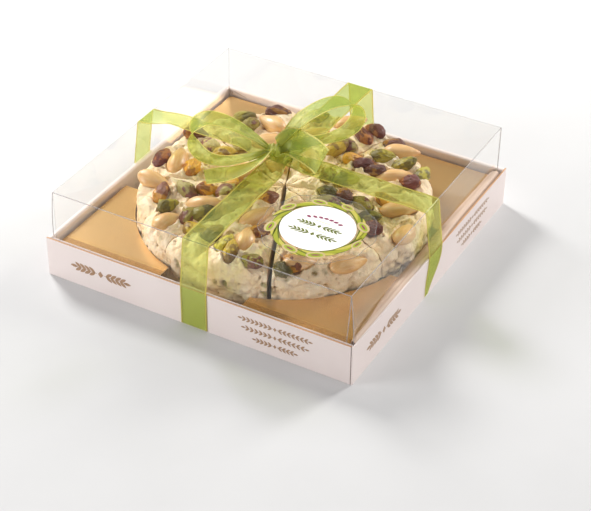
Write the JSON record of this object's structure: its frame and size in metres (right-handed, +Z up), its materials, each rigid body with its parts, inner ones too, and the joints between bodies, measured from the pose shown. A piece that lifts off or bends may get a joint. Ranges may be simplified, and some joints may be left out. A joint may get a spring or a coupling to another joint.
{
  "type": "soft nougat cake gift pack",
  "caption": "Round soft nougat cake cut into wedges, with almonds and pistachios, shut in a square card tray with a clear film lid, a round sticker and a ribbon tied in a bow.",
  "frame": {"origin": "middle of the tray's underside", "axes": "+Z up, -Y towards the front wall, +X to the right; the walls of the square tray are along X and Y"},
  "size_m": [0.2012, 0.2012, 0.0832],
  "materials": {
    "tray_card": "smooth pale pinkish cream folding card, satin",
    "gilt_card": "gold card with a soft satin sheen",
    "nougat": "soft creamy ivory nougat, folded and slightly waxy, with green smears",
    "almond": "blanched roasted almond, tan and glossy",
    "pistachio": "pistachio kernel, green under a purple-brown skin",
    "clear_film": "clear glossy film, folded to a box",
    "label_paper": "smooth white sticker paper with a plain leaf wreath",
    "organza": "sheer yellow-green organza with stitched selvedges"
  },
  "bodies": {
    "root": {"tray": "tray_card", "card_front_left": "gilt_card", "card_front_right": "gilt_card", "card_back_left": "gilt_card", "card_back_right": "gilt_card", "nougat_wedge_1": "nougat", "nougat_wedge_2": "nougat", "nougat_wedge_3": "nougat", "nougat_wedge_4": "nougat", "nougat_wedge_5": "nougat", "nougat_wedge_6": "nougat", "nougat_wedge_7": "nougat", "nougat_wedge_8": "nougat", "almond_01": "almond", "almond_02": "almond", "almond_03": "almond", "almond_04": "almond", "almond_05": "almond", "almond_06": "almond", "almond_07": "almond", "almond_08": "almond", "almond_09": "almond", "almond_10": "almond", "almond_11": "almond", "almond_12": "almond", "almond_13": "almond", "almond_14": "almond", "almond_15": "almond", "almond_16": "almond", "almond_17": "almond", "almond_18": "almond", "almond_19": "almond", "almond_20": "almond", "almond_21": "almond", "almond_22": "almond", "lid": "clear_film", "label": "label_paper", "ribbon_side_to_side": "organza", "ribbon_front_to_back": "organza", "bow": "organza"}
  },
  "joints": []
}
